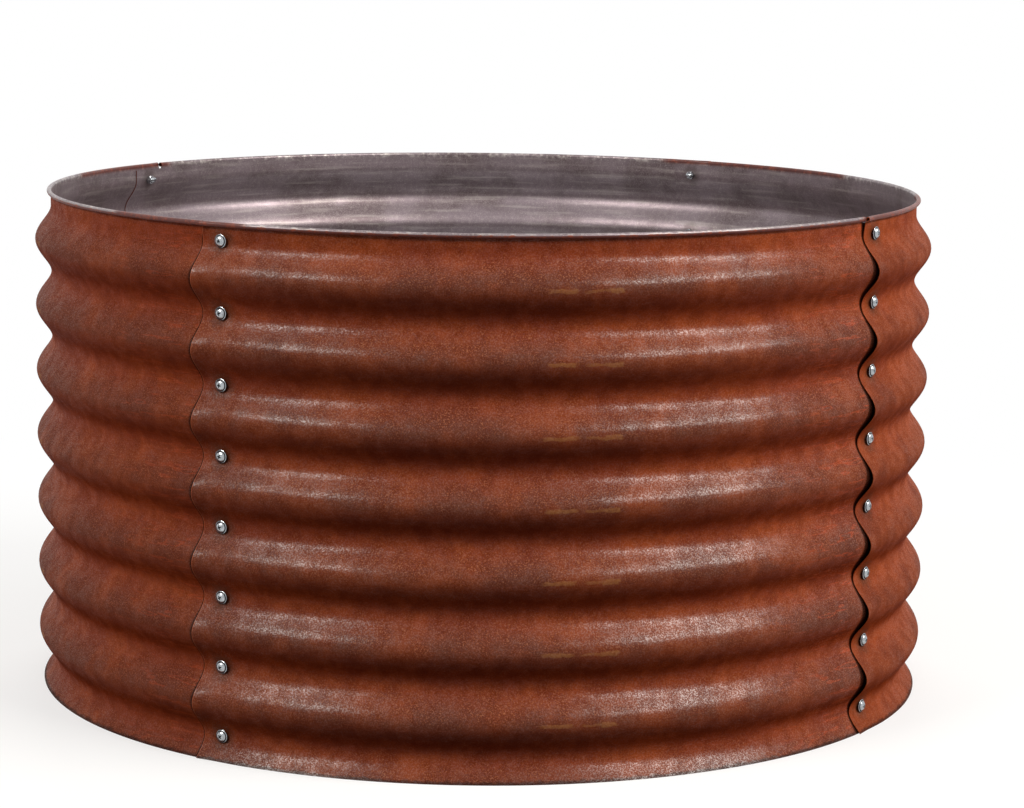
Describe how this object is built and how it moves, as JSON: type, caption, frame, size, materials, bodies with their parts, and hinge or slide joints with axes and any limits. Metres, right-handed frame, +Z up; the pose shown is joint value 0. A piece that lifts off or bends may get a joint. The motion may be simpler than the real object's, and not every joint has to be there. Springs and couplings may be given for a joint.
{
  "type": "raised garden bed",
  "caption": "Round raised garden bed: curved panels of corrugated sheet steel, lapped and screwed together in every valley, with a rolled rim and an open bottom.",
  "frame": {"origin": "on the ground at the middle of the bed, at the centre of its footprint", "axes": "+Z up; the front panel faces -Y, and the four seams lie between the X and Y axes"},
  "size_m": [1.0898, 1.0898, 0.6],
  "materials": {
    "weathered_steel": "satin rust-brown finish with a fine grain, darker in the valleys; grey-mauve inside and on the rolled rim",
    "zinc_plate": "bright zinc plate"
  },
  "bodies": {
    "root": {"panel_front": "weathered_steel", "panel_right": "weathered_steel", "panel_back": "weathered_steel", "panel_left": "weathered_steel", "screw_front_left_1": "zinc_plate", "nut_front_left_1": "zinc_plate", "screw_front_left_2": "zinc_plate", "nut_front_left_2": "zinc_plate", "screw_front_left_3": "zinc_plate", "nut_front_left_3": "zinc_plate", "screw_front_left_4": "zinc_plate", "nut_front_left_4": "zinc_plate", "screw_front_left_5": "zinc_plate", "nut_front_left_5": "zinc_plate", "screw_front_left_6": "zinc_plate", "nut_front_left_6": "zinc_plate", "screw_front_left_7": "zinc_plate", "nut_front_left_7": "zinc_plate", "screw_front_left_8": "zinc_plate", "nut_front_left_8": "zinc_plate", "screw_front_right_1": "zinc_plate", "nut_front_right_1": "zinc_plate", "screw_front_right_2": "zinc_plate", "nut_front_right_2": "zinc_plate", "screw_front_right_3": "zinc_plate", "nut_front_right_3": "zinc_plate", "screw_front_right_4": "zinc_plate", "nut_front_right_4": "zinc_plate", "screw_front_right_5": "zinc_plate", "nut_front_right_5": "zinc_plate", "screw_front_right_6": "zinc_plate", "nut_front_right_6": "zinc_plate", "screw_front_right_7": "zinc_plate", "nut_front_right_7": "zinc_plate", "screw_front_right_8": "zinc_plate", "nut_front_right_8": "zinc_plate", "screw_back_right_1": "zinc_plate", "nut_back_right_1": "zinc_plate", "screw_back_right_2": "zinc_plate", "nut_back_right_2": "zinc_plate", "screw_back_right_3": "zinc_plate", "nut_back_right_3": "zinc_plate", "screw_back_right_4": "zinc_plate", "nut_back_right_4": "zinc_plate", "screw_back_right_5": "zinc_plate", "nut_back_right_5": "zinc_plate", "screw_back_right_6": "zinc_plate", "nut_back_right_6": "zinc_plate", "screw_back_right_7": "zinc_plate", "nut_back_right_7": "zinc_plate", "screw_back_right_8": "zinc_plate", "nut_back_right_8": "zinc_plate", "screw_and_nut_back_left_1": "zinc_plate", "screw_and_nut_back_left_2": "zinc_plate", "screw_and_nut_back_left_3": "zinc_plate", "screw_and_nut_back_left_4": "zinc_plate", "screw_and_nut_back_left_5": "zinc_plate", "screw_and_nut_back_left_6": "zinc_plate", "screw_and_nut_back_left_7": "zinc_plate", "screw_and_nut_back_left_8": "zinc_plate"}
  },
  "joints": []
}
